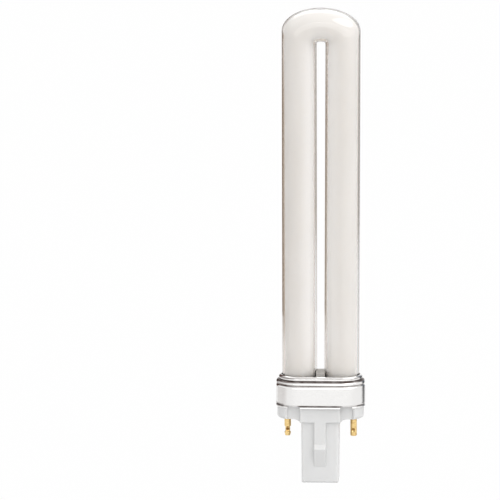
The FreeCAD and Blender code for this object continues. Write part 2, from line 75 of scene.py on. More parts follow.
class Value:
    """A number in a node tree. Arithmetic on it adds Math nodes."""

    def __init__(self, graph: "Graph", socket: bpy.types.NodeSocket) -> None:
        """Wrap a socket.

        Args:
            graph: The tree that holds the socket.
            socket: The output that carries the number.
        """
        self.graph = graph
        self.socket = socket

    def __add__(self, other: "Value | float") -> "Value":
        """Return the sum."""
        return self.graph.math("ADD", self, other)

    def __radd__(self, other: float) -> "Value":
        """Return the sum."""
        return self.graph.math("ADD", other, self)

    def __sub__(self, other: "Value | float") -> "Value":
        """Return the difference."""
        return self.graph.math("SUBTRACT", self, other)

    def __rsub__(self, other: float) -> "Value":
        """Return the difference."""
        return self.graph.math("SUBTRACT", other, self)

    def __mul__(self, other: "Value | float") -> "Value":
        """Return the product."""
        return self.graph.math("MULTIPLY", self, other)

    def __rmul__(self, other: float) -> "Value":
        """Return the product."""
        return self.graph.math("MULTIPLY", other, self)

    def __truediv__(self, other: "Value | float") -> "Value":
        """Return the quotient."""
        return self.graph.math("DIVIDE", self, other)

    def __rtruediv__(self, other: float) -> "Value":
        """Return the quotient."""
        return self.graph.math("DIVIDE", other, self)

    def __pow__(self, other: "Value | float") -> "Value":
        """Return the power."""
        return self.graph.math("POWER", self, other)


class Graph:
    """A shader or geometry node tree, filled by short calls."""

    def __init__(self, tree: bpy.types.NodeTree) -> None:
        """Take an empty tree.

        Args:
            tree: The tree to fill.
        """
        self.tree = tree

    def node(
        self, kind: str, inputs: Mapping[str | int, object] | None = None, **options: object
    ) -> bpy.types.Node:
        """Add a node.

        Args:
            kind: The node's type name.
            inputs: What each input gets, by the socket's name, identifier or place.
            **options: The node's own settings.

        Returns:
            The new node.
        """
        made = self.tree.nodes.new(kind)
        for name, option in options.items():
            setattr(made, name, option)
        for key, value in (inputs or {}).items():
            self.feed(made.inputs[key] if isinstance(key, int) else self.socket(made.inputs, key), value)
        return made

    @staticmethod
    def socket(sockets: Iterable[bpy.types.NodeSocket], key: str) -> bpy.types.NodeSocket:
        """Find a socket.

        Args:
            sockets: The node's inputs or outputs.
            key: The socket's name or identifier.

        Returns:
            The socket.
        """
        return next(s for s in sockets if key in (s.identifier, s.name) and s.enabled)

    def feed(self, socket: bpy.types.NodeSocket, value: object) -> None:
        """Link or set one input.

        Args:
            socket: The input.
            value: A Value, a socket, a number or a colour.
        """
        source = value.socket if isinstance(value, Value) else value
        if isinstance(source, bpy.types.NodeSocket):
            self.tree.links.new(source, socket)
        else:
            socket.default_value = (*source, 1.0) if socket.type == "RGBA" else source

    def math(self, operation: str, *terms: "Value | float") -> Value:
        """Add a Math node.

        Args:
            operation: The node's operation.
            *terms: Its inputs in order.

        Returns:
            The result.
        """
        made = self.tree.nodes.new("ShaderNodeMath")
        made.operation = operation
        for socket, term in zip(made.inputs, terms):
            self.feed(socket, term)
        return Value(self, made.outputs[0])

    def ramp(
        self, value: Value, low: float, high: float, start: float = 0.0, end: float = 1.0
    ) -> Value:
        """Map a number smoothly from one range to another.

        Args:
            value: The number.
            low: Where the range starts.
            high: Where it ends.
            start: The result at low and below.
            end: The result at high and above.

        Returns:
            The mapped number.
        """
        inputs = {"Value": value, "From Min": low, "From Max": high, "To Min": start, "To Max": end}
        made = self.node("ShaderNodeMapRange", inputs, interpolation_type="SMOOTHSTEP")
        return Value(self, made.outputs[0])

    def blend(self, share: Value, first: object, second: object) -> bpy.types.NodeSocket:
        """Mix two colours.

        Args:
            share: How much of the second one shows.
            first: A colour or a colour socket.
            second: A colour or a colour socket.

        Returns:
            The mixed colour.
        """
        made = self.tree.nodes.new("ShaderNodeMix")
        made.data_type = "RGBA"
        self.feed(made.inputs["Factor"], share)
        for key, colour in (("A_Color", first), ("B_Color", second)):
            socket = next(s for s in made.inputs if s.identifier == key)
            self.feed(socket, colour)
        return next(s for s in made.outputs if s.identifier == "Result_Color")


class Surface(Graph):
    """A material under construction, with its pattern coordinates in the object's own metres."""

    def __init__(self, name: str) -> None:
        """Start an empty material.

        Args:
            name: The material's name.
        """
        self.material = bpy.data.materials.new(name)
        self.material.use_nodes = True
        super().__init__(self.material.node_tree)
        self.tree.nodes.clear()
        self.output = self.tree.nodes.new("ShaderNodeOutputMaterial")
        place = self.tree.nodes.new("ShaderNodeTexCoord").outputs["Object"]
        self.place = place
        split = self.node("ShaderNodeSeparateXYZ", {"Vector": place})
        self.x, _, self.z = (Value(self, out) for out in split.outputs)

    def stretched(self, share: float) -> bpy.types.NodeSocket:
        """Return the coordinates for a grain that runs along the lamp.

        Args:
            share: The scale along the lamp. The smaller it is, the longer the grain.

        Returns:
            The scaled coordinates.
        """
        return self.node("ShaderNodeMapping", {"Vector": self.place, "Scale": (1.0, 1.0, share)}).outputs[0]

    def noise(
        self, size: float, detail: float = 3.0, roughness: float = 0.5, place: object = None
    ) -> Value:
        """Return soft noise around 0.5.

        Args:
            size: The size of its patches in metres.
            detail: How many finer layers it has.
            roughness: How strong they are.
            place: Other coordinates than the object's own.

        Returns:
            The noise.
        """
        inputs = {"Scale": 1 / size, "Detail": detail, "Roughness": roughness}
        made = self.node("ShaderNodeTexNoise", {"Vector": place or self.place, **inputs})
        return Value(self, made.outputs[0])

    def bump(self, height: Value, depth: float, below: object = None) -> bpy.types.NodeSocket:
        """Return a normal tilted by a height.

        Args:
            height: The height, from 0 to 1.
            depth: What a height of 1 is in metres.
            below: The normal that it lies on.

        Returns:
            The normal.
        """
        inputs = {"Height": height, "Distance": depth, "Strength": 1.0}
        if below is not None:
            inputs["Normal"] = below
        return self.node("ShaderNodeBump", inputs).outputs[0]

    def rounded(self, radius: float, samples: int) -> bpy.types.NodeSocket:
        """Return a normal that rounds the edges.

        Args:
            radius: How far the rounding reaches in metres.
            samples: How many rays find it.

        Returns:
            The normal.
        """
        return self.node("ShaderNodeBevel", {"Radius": radius}, samples=samples).outputs[0]

    def finish(self, **inputs: object) -> bpy.types.Material:
        """End the material in one Principled shader.

        Args:
            **inputs: The shader's inputs, with underscores for spaces.

        Returns:
            The material.
        """
        named = {key.replace("_", " "): value for key, value in inputs.items()}
        shader = self.node("ShaderNodeBsdfPrincipled", named)
        self.tree.links.new(shader.outputs[0], self.output.inputs["Surface"])
        return self.material

    def mix_shaders(self, share: Value, first: bpy.types.Node, second: bpy.types.Node) -> None:
        """End the material in two mixed shaders.

        Args:
            share: How much of the second one shows.
            first: A shader.
            second: Another shader.
        """
        shaders = {"Fac": share, 1: first.outputs[0], 2: second.outputs[0]}
        mixed = self.node("ShaderNodeMixShader", shaders)
        self.tree.links.new(mixed.outputs[0], self.output.inputs["Surface"])


@dataclass(frozen=True)
class DrawnGlass:
    """Clear tube glass with the faint waves of its drawing."""

    colour: Colour = (0.995, 0.99, 0.985)
    index: float = 1.51
    wave_size: float = 0.009
    wave_stretch: float = 0.25
    wave_depth: float = 0.000012
    haze_size: float = 0.004
    haze_range: tuple[float, float] = (0.35, 0.75)
    haze: float = 0.03

    def material(self) -> bpy.types.Material:
        """Return the clear glass."""
        s = Surface("drawn_glass")
        waves = s.noise(self.wave_size, 1.0, 0.4, s.stretched(self.wave_stretch))
        return s.finish(
            Base_Color=self.colour,
            Roughness=s.ramp(s.noise(self.haze_size), *self.haze_range, 0.0, self.haze),
            IOR=self.index,
            Transmission_Weight=1.0,
            Normal=s.bump(waves, self.wave_depth),
        )


@dataclass(frozen=True)
class PowderCoating:
    """The matt white powder inside the glass, yellower at the legs' warm feet, with painted light on the
    legs' sides that face each other.
    """

    white: Colour = (0.7, 0.682, 0.664)
    thin: Colour = (0.68, 0.66, 0.639)
    patch_size: float = 0.016
    patch_stretch: float = 0.35
    # Painted light: a paler powder on the legs' sides that face the slot, below the bend, where shade
    # falls.
    slot_side_light: Colour = (0.765, 0.75, 0.736)
    slot_side_light_from: float = 0.0075
    slot_side_light_to: float = 0.0035
    slot_side_light_below: float = 0.131
    slot_side_light_blur: float = 0.008
    warmed: Colour = (0.68, 0.648, 0.613)
    warm_from: float = 0.034
    warm_to: float = 0.012
    warm_patch: float = 0.006
    warm_wander: float = 0.008
    grain_size: float = 0.0002
    grain_depth: float = 0.00001
    roughness: tuple[float, float] = (0.85, 0.95)
    specular: float = 0.2
    scatter_share: float = 1.0
    scatter_colour: Colour = (1.0, 0.97, 0.93)
    scatter_reach: float = 0.012

    def material(self) -> bpy.types.Material:
        """Return the coating."""
        s = Surface("powder_coating")
        patches = s.ramp(s.noise(self.patch_size, 2.0, 0.5, s.stretched(self.patch_stretch)), *PATCH_RANGE)
        # Painted light on the legs' sides that face the slot.
        inner = s.ramp(s.math("ABSOLUTE", s.x), self.slot_side_light_from, self.slot_side_light_to)
        inner = inner * s.ramp(s.z, self.slot_side_light_below + self.slot_side_light_blur, self.slot_side_light_below)
        powder = s.blend(inner, s.blend(patches, self.white, self.thin), self.slot_side_light)
        wander = s.noise(self.warm_patch) * self.warm_wander
        foot = s.ramp(s.z + wander, self.warm_from, self.warm_to)
        grain = s.noise(self.grain_size, 4.0, 0.6)
        return s.finish(
            Base_Color=s.blend(foot, powder, self.warmed),
            Roughness=s.ramp(grain, *NOISE_RANGE, *self.roughness),
            Specular_IOR_Level=self.specular,
            Subsurface_Weight=self.scatter_share,
            Subsurface_Radius=self.scatter_colour,
            Subsurface_Scale=self.scatter_reach,
            Normal=s.bump(grain, self.grain_depth),
        )


@dataclass(frozen=True)
class Crease:
    """A fold round the shell at one height, darkened with painted shade and some grime but for a gap on
    each side of the middle.
    """

    height: float
    half_width: float
    share: float
    # Across the gap the painted fold shade is weaker.
    gap_from: float = 0.0
    gap_to: float = 0.0
    gap_share: float = 0.25
    gap_blur: float = 0.0005

    def held(self, s: Surface) -> Value | float:
        """Return how much of its painted shade and grime the fold holds at each place across the lamp.

        Args:
            s: The material under construction.

        Returns:
            The share from 0 to 1.
        """
        if self.gap_to <= self.gap_from:
            return 1.0
        across = s.math("ABSOLUTE", s.x)
        inside = s.ramp(across, self.gap_from - self.gap_blur, self.gap_from + self.gap_blur)
        inside = inside * s.ramp(across, self.gap_to + self.gap_blur, self.gap_to - self.gap_blur)
        return 1.0 - inside * (1.0 - self.gap_share)


@dataclass(frozen=True)
class DrawnAluminium:
    """Thin drawn aluminium: satin on the flat band, burnished on the rolled beads, with painted shade and
    some grime in the folds.
    """

    colour: Colour = (0.862, 0.852, 0.842)
    speck: Colour = (0.72, 0.715, 0.71)
    speck_size: float = 0.0006
    speck_range: tuple[float, float] = (0.66, 0.74)
    speck_share: float = 0.35
    band_roughness: tuple[float, float] = (0.19, 0.29)
    bead_roughness: tuple[float, float] = (0.1, 0.17)
    bead_patch: float = 0.0012
    bead_from: float = 0.0108
    bead_to: float = 0.0118
    grain_size: float = 0.00035
    drawn_size: float = 0.0004
    drawn_stretch: float = 0.06
    drawn_share: float = 0.4
    relief_depth: float = 0.0000035
    # Painted shade: a dark brown laid into the shell's folds where shade and dark reflections fall, with
    # some grime.
    shade_and_grime: Colour = (0.09, 0.06, 0.052)
    shade_and_grime_roughness: float = 0.25
    shade_and_grime_patch: float = 0.0025
    shade_and_grime_range: tuple[float, float] = (0.3, 0.65)
    shade_and_grime_least: float = 0.75
    crease_patch: float = 0.0012
    crease_wander: float = 0.0001
    crease_core: float = 0.2
    # The painted fold shade runs wider towards the lamp's left end.
    wide_from: float = -0.0145
    wide_to: float = -0.006
    wide_share: float = 0.5
    creases: tuple[Crease, ...] = (
        Crease(0.0146, 0.0002, 0.9),
        Crease(0.01345, 0.00036, 1.0),
        Crease(0.0122, 0.00032, 1.0),
        Crease(0.00505, 0.0004, 1.0, 0.0077, 0.0128),
    )

    def material(self) -> bpy.types.Material:
        """Return the aluminium."""
        s = Surface("drawn_aluminium")
        grain = s.noise(self.grain_size, 4.0, 0.65)
        drawn = s.noise(self.drawn_size, 3.0, 0.5, s.stretched(self.drawn_stretch))
        specks = s.ramp(s.noise(self.speck_size, 2.0), *self.speck_range)
        rolled = s.ramp(s.z, self.bead_from, self.bead_to)
        satin = s.ramp(grain, *NOISE_RANGE, *self.band_roughness)
        burnished = s.ramp(s.noise(self.bead_patch), *NOISE_RANGE, *self.bead_roughness)
        # Painted shade and grime in the folds, mixed into the colour and the roughness below.
        dark = self.shade_and_grime_share(s)
        base = s.blend(specks * self.speck_share, self.colour, self.speck)
        relief = grain * (1.0 - self.drawn_share) + drawn * self.drawn_share
        return s.finish(
            Base_Color=s.blend(dark, base, self.shade_and_grime),
            Metallic=1.0,
            Roughness=satin + (burnished - satin) * rolled + dark * self.shade_and_grime_roughness,
            Normal=s.bump(relief, self.relief_depth),
        )

    def shade_and_grime_share(self, s: Surface) -> Value:
        """Return how much painted shade and grime the folds hold, uneven along them and wider at the lamp's
        left end.

        Args:
            s: The material under construction.

        Returns:
            The share from 0 to 1.
        """
        uneven = s.ramp(s.noise(self.shade_and_grime_patch, 3.0), *self.shade_and_grime_range, self.shade_and_grime_least, 1.0)
        narrow = s.ramp(s.x, self.wide_from, self.wide_to, self.wide_share, 1.0)
        wander = (s.noise(self.crease_patch) - 0.5) * self.crease_wander
        share = None
        for crease in self.creases:
            off = s.math("ABSOLUTE", s.z + wander - crease.height) * narrow
            core = crease.half_width * self.crease_core
            one = s.ramp(off, crease.half_width, core, 0.0, crease.share) * crease.held(s)
            share = one if share is None else s.math("MAXIMUM", share, one)
        return share * uneven


@dataclass(frozen=True)
class BasingCement:
    """The grey, grainy cement between the glass and the shell."""

    light: Colour = (0.455, 0.436, 0.414)
    dark: Colour = (0.376, 0.358, 0.337)
    grain_size: float = 0.0005
    grain_depth: float = 0.00012
    roughness: tuple[float, float] = (0.75, 0.95)

    def material(self) -> bpy.types.Material:
        """Return the cement."""
        s = Surface("basing_cement")
        grain = s.noise(self.grain_size, 4.0, 0.7)
        return s.finish(
            Base_Color=s.blend(s.ramp(grain, *PATCH_RANGE), self.light, self.dark),
            Roughness=s.ramp(grain, *NOISE_RANGE, *self.roughness),
            Normal=s.bump(grain, self.grain_depth),
        )


@dataclass(frozen=True)
class MouldedPlastic:
    """Pale grey injection-moulded plastic: softly rounded edges, fine tool texture, a trace of flow."""

    colour: Colour = (0.74, 0.74, 0.738)
    flow: Colour = (0.71, 0.71, 0.706)
    flow_size: float = 0.011
    flow_stretch: float = 0.4
    tool_size: float = 0.00022
    tool_depth: float = 0.000004
    edge_radius: float = 0.00028
    edge_samples: int = 6
    sheen_size: float = 0.003
    roughness: tuple[float, float] = (0.36, 0.46)
    specular: float = 0.4
    scatter_share: float = 0.4
    scatter_colour: Colour = (0.5, 0.48, 0.46)
    scatter_reach: float = 0.003

    def material(self) -> bpy.types.Material:
        """Return the plastic."""
        s = Surface("moulded_plastic")
        flow = s.ramp(s.noise(self.flow_size, 2.0, 0.5, s.stretched(self.flow_stretch)), *PATCH_RANGE)
        tool = s.noise(self.tool_size, 3.0, 0.6)
        return s.finish(
            Base_Color=s.blend(flow, self.colour, self.flow),
            Roughness=s.ramp(s.noise(self.sheen_size), *NOISE_RANGE, *self.roughness),
            Specular_IOR_Level=self.specular,
            Subsurface_Weight=self.scatter_share,
            Subsurface_Radius=self.scatter_colour,
            Subsurface_Scale=self.scatter_reach,
            Normal=s.bump(tool, self.tool_depth, s.rounded(self.edge_radius, self.edge_samples)),
        )


@dataclass(frozen=True)
class CrimpMark:
    """Where a crimping tool has pressed a pin: a hollow that gets painted shade and is left dull."""

    place: tuple[float, float, float]
    reach: float
    share: float


@dataclass(frozen=True)
class TurnedBrass:
    """Brass drawn along the pin, tarnished in patches, with painted shade in its crimp marks."""

    bright: Colour = (0.9, 0.66, 0.3)
    dull: Colour = (0.62, 0.4, 0.15)
    # Painted shade: the dark brown laid into the crimp hollows.
    crimp_shade: Colour = (0.2, 0.095, 0.025)
    tarnish_size: float = 0.0012
    tarnish_range: tuple[float, float] = (0.45, 0.65)
    tarnish_share: float = 0.8
    drawn_size: float = 0.00025
    drawn_stretch: float = 0.08
    drawn_depth: float = 0.000006
    roughness: tuple[float, float] = (0.15, 0.28)
    pressed_roughness: float = 0.25
    edge_radius: float = 0.00008
    edge_samples: int = 4
    crimp_core: float = 0.5
    crimps: tuple[CrimpMark, ...] = (
        CrimpMark((-0.0115, -0.0006, -0.00435), 0.00085, 1.0),
        CrimpMark((0.0115, -0.0009, -0.0043), 0.00075, 0.65),
    )

    def material(self) -> bpy.types.Material:
        """Return the brass."""
        s = Surface("turned_brass")
        drawn = s.noise(self.drawn_size, 3.0, 0.6, s.stretched(self.drawn_stretch))
        tarnish = s.ramp(s.noise(self.tarnish_size, 3.0, 0.6), *self.tarnish_range) * self.tarnish_share
        # Painted shade in the crimp hollows, which are also made rougher.
        crimp_shaded = self.crimp_shaded(s)
        roughness = s.ramp(drawn, *NOISE_RANGE, *self.roughness)
        return s.finish(
            Base_Color=s.blend(crimp_shaded, s.blend(tarnish, self.bright, self.dull), self.crimp_shade),
            Metallic=1.0,
            Roughness=roughness + crimp_shaded * self.pressed_roughness,
            Normal=s.bump(drawn, self.drawn_depth, s.rounded(self.edge_radius, self.edge_samples)),
        )

    def crimp_shaded(self, s: Surface) -> Value:
        """Return how much painted shade a crimp mark lays on the brass.

        Args:
            s: The material under construction.

        Returns:
            The share from 0 to 1.
        """
        share = None
        for mark in self.crimps:
            apart = s.node("ShaderNodeVectorMath", {0: s.place, 1: mark.place}, operation="DISTANCE")
            away = Value(s, apart.outputs["Value"])
            one = s.ramp(away, mark.reach, mark.reach * self.crimp_core, 0.0, mark.share)
            share = one if share is None else s.math("MAXIMUM", share, one)
        return share


@dataclass(frozen=True)
class SealedFinish:
    """A plain finish for a part that is sealed inside the cap, with its grain and roughness."""

    name: str
    colour: Colour
    patch: Colour
    roughness: float
    metallic: float = 0.0
    grain: float = 0.0006
    rough_spread: float = 0.06
    grain_share: float = 0.02

    def material(self) -> bpy.types.Material:
        """Return the finish."""
        s = Surface(self.name)
        grain = s.noise(self.grain, 3.0, 0.6)
        rough = (self.roughness - self.rough_spread, self.roughness + self.rough_spread)
        return s.finish(
            Base_Color=s.blend(s.ramp(grain, *PATCH_RANGE), self.colour, self.patch),
            Metallic=self.metallic,
            Roughness=s.ramp(grain, *NOISE_RANGE, *rough),
            Normal=s.bump(grain, self.grain * self.grain_share),
        )


def dress(slot: Slot, names: Sequence[str], material: bpy.types.Material) -> None:
    """Give the CAD nodes of one slot their finish and report them.

    Args:
        slot: The nodes' slot in the record.
        names: The nodes.
        material: The finish.
    """
    for name in names:
        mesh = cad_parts[name].data
        mesh.materials.clear()
        mesh.materials.append(material)
        log.info("node %s, slot %s: %s", name, slot.value, material.name)


@dataclass
class CoatedTube:
    """The U-shaped glass tube with the white powder on its inside."""

    glass_top: float = 0.1443
    leg_radius: float = 0.0061
    pitch_foot: float = 0.0146
    pitch_top: float = 0.0152
    wall: float = 0.0008
    bend_thickness: float = 0.0118
    shoulder_height: float = 0.0081
    slot_rise: float = 0.0015
    slot_squareness: float = 4.0
    leg_end: float = 0.0128
    powder_gap: float = 0.00006
    foot_clearance: float = 0.0012
    corner_clear: float = 0.00035
    corner_fall: float = 0.0045
    sides: int = 72
    stations: int = 240
    least_cosine: ClassVar[float] = 0.05
    glass: DrawnGlass = DrawnGlass()
    powder: PowderCoating = PowderCoating()

    def build(self) -> None:
        """Make the coating and dress the glass."""
        dress(Slot.GLASS, ["glass_tube"], self.glass.material())
        coat = self.grown("powder_coating", self.coating_tree())
        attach(coat, "root")
        log.info("piece %s: %d faces", coat.name, len(coat.data.polygons))

    def sizes(self) -> dict[str, float]:
        """Return the tree's inputs by name."""
        slot_height = self.glass_top - self.bend_thickness - self.slot_rise
        return {
            "Slot height": slot_height,
            "Leg length": slot_height - self.leg_end - self.foot_clearance,
            "Leg radius": self.leg_radius,
            "Half pitch": self.pitch_top / 2,
            "Foot closer by": (self.pitch_top - self.pitch_foot) / 2,
            "Bend thickness": self.bend_thickness,
            "Shoulder height": self.shoulder_height,
            "Slot rise": self.slot_rise,
            "Slot squareness": self.slot_squareness,
            "Inset": self.wall + self.powder_gap,
            "Corner clear": self.corner_clear,
            "Corner fall": self.corner_fall,
        }

    def coating_tree(self) -> bpy.types.NodeTree:
        """Return the tree that bends a closed cylinder into the tube's inside.

        The cylinder's lower third becomes the right leg, its middle the bend and the rest the left leg.

        Returns:
            The geometry node tree, with one named input for each size.
        """
        tree = bpy.data.node_groups.new("coated_tube", "GeometryNodeTree")
        for name in self.sizes():
            tree.interface.new_socket(name=name, in_out="INPUT", socket_type="NodeSocketFloat")
        tree.interface.new_socket(name="Geometry", in_out="OUTPUT", socket_type="NodeSocketGeometry")
        g = Graph(tree)
        given = tree.nodes.new("NodeGroupInput")
        size = {name: Value(g, given.outputs[name]) for name in self.sizes()}
        blank = g.node(
            "GeometryNodeMeshCylinder",
            {"Vertices": self.sides, "Side Segments": self.stations, "Radius": 1.0, "Depth": 1.0},
            fill_type="NGON",
        )
        position = tree.nodes.new("GeometryNodeInputPosition").outputs[0]
        place = g.node("ShaderNodeSeparateXYZ", {"Vector": position})
        across, deep, along = (Value(g, out) for out in place.outputs)
        station = (along + 0.5) * 3.0
        turn = g.math("MINIMUM", g.math("MAXIMUM", station - 1.0, 0.0), 1.0) * math.pi
        down = g.math("MAXIMUM", g.math("MAXIMUM", 1.0 - station, station - 2.0), 0.0)
        cosine = g.math("COSINE", turn)
        sine = g.math("MAXIMUM", g.math("SINE", turn), 0.0)
        outer = self.outer_reach(g, size, cosine, sine)
        fall = g.math("MAXIMUM", 1.0 - down * size["Leg length"] / size["Corner fall"], 0.0)
        inner = self.inner_reach(g, size, cosine, sine)
        inner = inner + size["Corner clear"] * fall * g.math("ABSOLUTE", cosine)
        middle = (outer + inner) * 0.5 - down * size["Foot closer by"]
        half_width = (outer - inner) * 0.5 - size["Inset"]
        reach = middle + half_width * across
        height = size["Slot height"] + sine * reach - down * size["Leg length"]
        point = g.node(
            "ShaderNodeCombineXYZ",
            {"X": cosine * reach, "Y": deep * (size["Leg radius"] - size["Inset"]), "Z": height},
        )
        form = {"Geometry": blank.outputs["Mesh"], "Position": point.outputs[0]}
        moved = g.node("GeometryNodeSetPosition", form)
        smooth = g.node("GeometryNodeSetShadeSmooth", {"Geometry": moved.outputs[0]})
        real = g.node("GeometryNodeRealizeInstances", {"Geometry": smooth.outputs[0]})
        dressed = {"Geometry": real.outputs[0], "Material": self.powder.material()}
        coated = g.node("GeometryNodeSetMaterial", dressed)
        out = tree.nodes.new("NodeGroupOutput")
        tree.links.new(coated.outputs[0], out.inputs["Geometry"])
        return tree

    @classmethod
    def outer_reach(cls, g: Graph, size: Mapping[str, Value], cosine: Value, sine: Value) -> Value:
        """Return the distance from the slot's centre to the outside of the bend.

        Args:
            g: The tree.
            size: The tree's sizes.
            cosine: The cosine of the angle round the slot.
            sine: Its sine.

        Returns:
            The distance.
        """
        span = size["Half pitch"] + size["Leg radius"]
        lift = size["Bend thickness"] + size["Slot rise"] - size["Shoulder height"]
        across = g.math("ABSOLUTE", cosine)
        straight = span / g.math("MAXIMUM", across, cls.least_cosine)
        shoulder = size["Shoulder height"]
        square = (across / span) ** 2.0 + (sine / shoulder) ** 2.0
        linear = sine * lift / (shoulder ** 2.0)
        constant = (lift / shoulder) ** 2.0 - 1.0
        root = g.math("SQRT", g.math("MAXIMUM", linear ** 2.0 - square * constant, 0.0))
        curved = (linear + root) / square
        on_shoulder = g.math("GREATER_THAN", straight * sine, lift)
        return straight + (curved - straight) * on_shoulder

    @staticmethod
    def inner_reach(g: Graph, size: Mapping[str, Value], cosine: Value, sine: Value) -> Value:
        """Return the distance from the slot's centre to its squared edge.

        Args:
            g: The tree.
            size: The tree's sizes.
            cosine: The cosine of the angle round the slot.
            sine: Its sine.

        Returns:
            The distance.
        """
        slot = size["Half pitch"] - size["Leg radius"]
        power = size["Slot squareness"]
        side = (g.math("ABSOLUTE", cosine) / slot) ** power
        top = (sine / size["Slot rise"]) ** power
        return (side + top) ** (-1.0 / power)

    def grown(self, name: str, tree: bpy.types.NodeTree) -> bpy.types.Object:
        """Grow a mesh from a tree and keep the result as a plain mesh.

        Args:
            name: The piece's name.
            tree: The geometry node tree.

        Returns:
            The piece, at the origin, with no modifier.
        """
        seed = bpy.data.objects.new(name + "_seed", bpy.data.meshes.new(name + "_seed"))
        bpy.context.scene.collection.objects.link(seed)
        modifier = seed.modifiers.new("grow", "NODES")
        modifier.node_group = tree
        for item in tree.interface.items_tree:
            if item.item_type == "SOCKET" and item.in_out == "INPUT":
                modifier[item.identifier] = self.sizes()[item.name]
        view = bpy.context.evaluated_depsgraph_get()
        grown = seed.evaluated_get(view)
        mesh = bpy.data.meshes.new_from_object(grown, preserve_all_data_layers=True, depsgraph=view)
        bpy.data.objects.remove(seed)
        form = bmesh.new()
        form.from_mesh(mesh)
        bmesh.ops.recalc_face_normals(form, faces=form.faces)
        form.to_mesh(mesh)
        form.free()
        piece = bpy.data.objects.new(name, mesh)
        bpy.context.scene.collection.objects.link(piece)
        return piece


@dataclass
class Collar:
    """The drawn metal shell with its rolled beads, and the cement that fills it."""

    metal: DrawnAluminium = DrawnAluminium()
    cement: BasingCement = BasingCement()

    def build(self) -> None:
        """Dress the shell and the cement."""
        dress(Slot.SHELL, ["metal_shell"], self.metal.material())
        dress(Slot.CEMENT, ["basing_cement"], self.cement.material())


@dataclass
class PlugCap:
    """The moulded cap with its contact pins and the parts sealed inside it."""

    plastic: MouldedPlastic = MouldedPlastic()
    brass: TurnedBrass = TurnedBrass()
    bottle: SealedFinish = SealedFinish(
        "starter_glass", (0.7, 0.72, 0.7), (0.6, 0.62, 0.6), 0.15, grain=0.002
    )
    dip: SealedFinish = SealedFinish("capacitor_dip", (0.25, 0.12, 0.05), (0.2, 0.09, 0.04), 0.35)
    wire: SealedFinish = SealedFinish(
        "lead_wire", (0.7, 0.69, 0.67), (0.6, 0.59, 0.57), 0.35, metallic=1.0, grain=0.0003
    )
    sleeve: SealedFinish = SealedFinish(
        "fibre_sleeve", (0.8, 0.79, 0.74), (0.7, 0.69, 0.64), 0.8, grain=0.0002
    )

    def build(self) -> None:
        """Dress the cap, the pins and the sealed parts."""
        dress(Slot.CAP, ["base_housing"], self.plastic.material())
        dress(Slot.PIN, self.pair("contact_pin"), self.brass.material())
        dress(Slot.STARTER, ["glow_starter"], self.bottle.material())
        dress(Slot.CAPACITOR, ["suppression_capacitor"], self.dip.material())
        dress(Slot.WIRE, self.pair("pin_lead") + self.pair("starter_lead"), self.wire.material())
        dress(Slot.SLEEVE, self.pair("lead_sleeve"), self.sleeve.material())

    @staticmethod
    def pair(kind: str) -> list[str]:
        """Return the names of the left and the right node of one kind.

        Args:
            kind: What both names start with.

        Returns:
            The names.
        """
        return [f"{kind}_{side}" for side in ("left", "right")]


@dataclass(frozen=True)
class PhotoCamera:
    """The photograph's viewpoint, fitted on the lamp's own edges."""

    azimuth: float = 0.0331
    tilt: float = 0.1758
    focal_pixels: float = 10989.0
    frame_pixels: float = 500.0
    lamp_pixel: float = 320.94
    position: tuple[float, float, float] = (0.1247, -3.7654, 0.7282)
    sensor: float = 36.0
    near: float = 0.1
    far: float = 30.0

    def build(self) -> None:
        """Make the camera, turned aside so that the lamp stands right of the middle."""
        forward = Vector((
            -math.sin(self.azimuth) * math.cos(self.tilt),
            math.cos(self.azimuth) * math.cos(self.tilt),
            -math.sin(self.tilt),
        ))
        right = Vector((math.cos(self.azimuth), math.sin(self.azimuth), 0.0))
        pan = math.atan((self.lamp_pixel - self.frame_pixels / 2) / self.focal_pixels)
        aim = forward * math.cos(pan) - right * math.sin(pan)
        camera = bpy.data.objects.new("photo_camera", bpy.data.cameras.new("photo_camera"))
        camera.data.sensor_width = self.sensor
        camera.data.lens = self.focal_pixels / self.frame_pixels * self.sensor
        camera.data.clip_start = self.near
        camera.data.clip_end = self.far
        camera.location = self.position
        camera.rotation_mode = "QUATERNION"
        camera.rotation_quaternion = aim.to_track_quat("-Z", "Y")
        bpy.context.scene.collection.objects.link(camera)
        bpy.context.scene.camera = camera


def towards(bearing: float, rise: float, distance: float) -> Vector:
    """Return a point of the studio as seen from the lamp's base.

    Args:
        bearing: Degrees from straight ahead of the lamp, positive to its right in the photograph.
        rise: Degrees above the horizon.
        distance: Metres from the origin.

    Returns:
        The point.
    """
    turn, lift = math.radians(bearing), math.radians(rise)
    level = distance * math.cos(lift)
    return Vector((level * math.sin(turn), -level * math.cos(turn), distance * math.sin(lift)))


@dataclass(frozen=True)
class Softbox:
    """One soft, oval studio lamp."""

    name: str
    bearing: float
    rise: float
    distance: float
    width: float
    height: float
    power: float
    colour: Colour = WHITE

    def build(self, target: Vector) -> None:
        """Hang the lamp, facing a point.

        Args:
            target: The point that it faces.
        """
        data = bpy.data.lights.new(self.name, "AREA")
        data.shape = "ELLIPSE"
        data.size = self.width
        data.size_y = self.height
        data.energy = self.power
        data.color = self.colour
        lamp = bpy.data.objects.new(self.name, data)
        lamp.location = target + towards(self.bearing, self.rise, self.distance)
        lamp.rotation_mode = "QUATERNION"
        lamp.rotation_quaternion = (target - lamp.location).to_track_quat("-Z", "Y")
        bpy.context.scene.collection.objects.link(lamp)


@dataclass(frozen=True)
class StudioCard:
    """A card that stands outside the picture and only shows in reflections."""

    name: str
    bearing: float
    distance: float
    width: float
    high: float
    colour: Colour
    low: float = FLOOR_HEIGHT

    def build(self) -> None:
        """Stand the card upright, facing the lamp."""
        middle = towards(self.bearing, 0.0, self.distance)
        across = Vector((-middle.y, middle.x, 0.0)).normalized() * (self.width / 2)
        ends = (middle - across, middle + across)
        corners = [(end.x, end.y, z) for z in (self.low, self.high) for end in ends]
        card = studio_sheet(self.name, corners, [(0, 1, 3, 2)], lambda s: self.colour)
        card.visible_transmission = False


